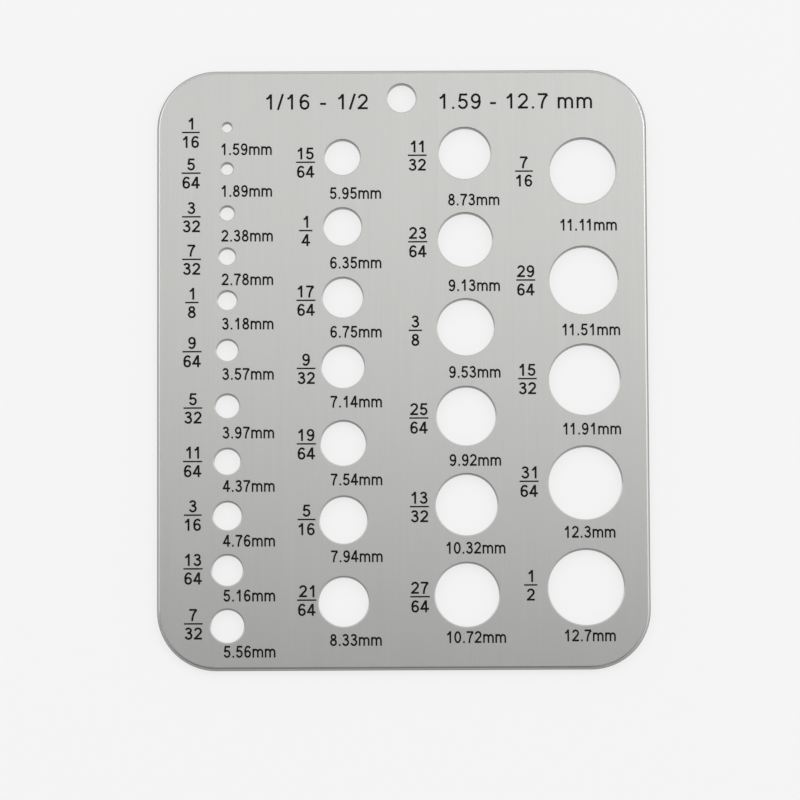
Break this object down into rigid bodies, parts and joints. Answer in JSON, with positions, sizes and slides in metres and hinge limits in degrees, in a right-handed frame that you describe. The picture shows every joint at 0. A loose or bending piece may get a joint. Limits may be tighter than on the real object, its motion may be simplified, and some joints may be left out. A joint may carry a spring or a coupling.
{
  "type": "drill size gauge",
  "caption": "Flat steel plate with rounded corners, a hanging hole and a graduated run of marked round holes that show the size of a drill.",
  "frame": {"origin": "middle of the plate's box, on its flat back face", "axes": "+X across the plate to the right as its numbers read, +Y up the plate to the hanging hole, +Z out of the marked face"},
  "size_m": [0.0826, 0.1016, 0.0015],
  "materials": {
    "plate_steel": "fine straight brushing along the plate's height",
    "number_ink": "small flat black numbers, printed on the front face"
  },
  "bodies": {
    "root": {"gauge_plate": "plate_steel"}
  },
  "joints": []
}
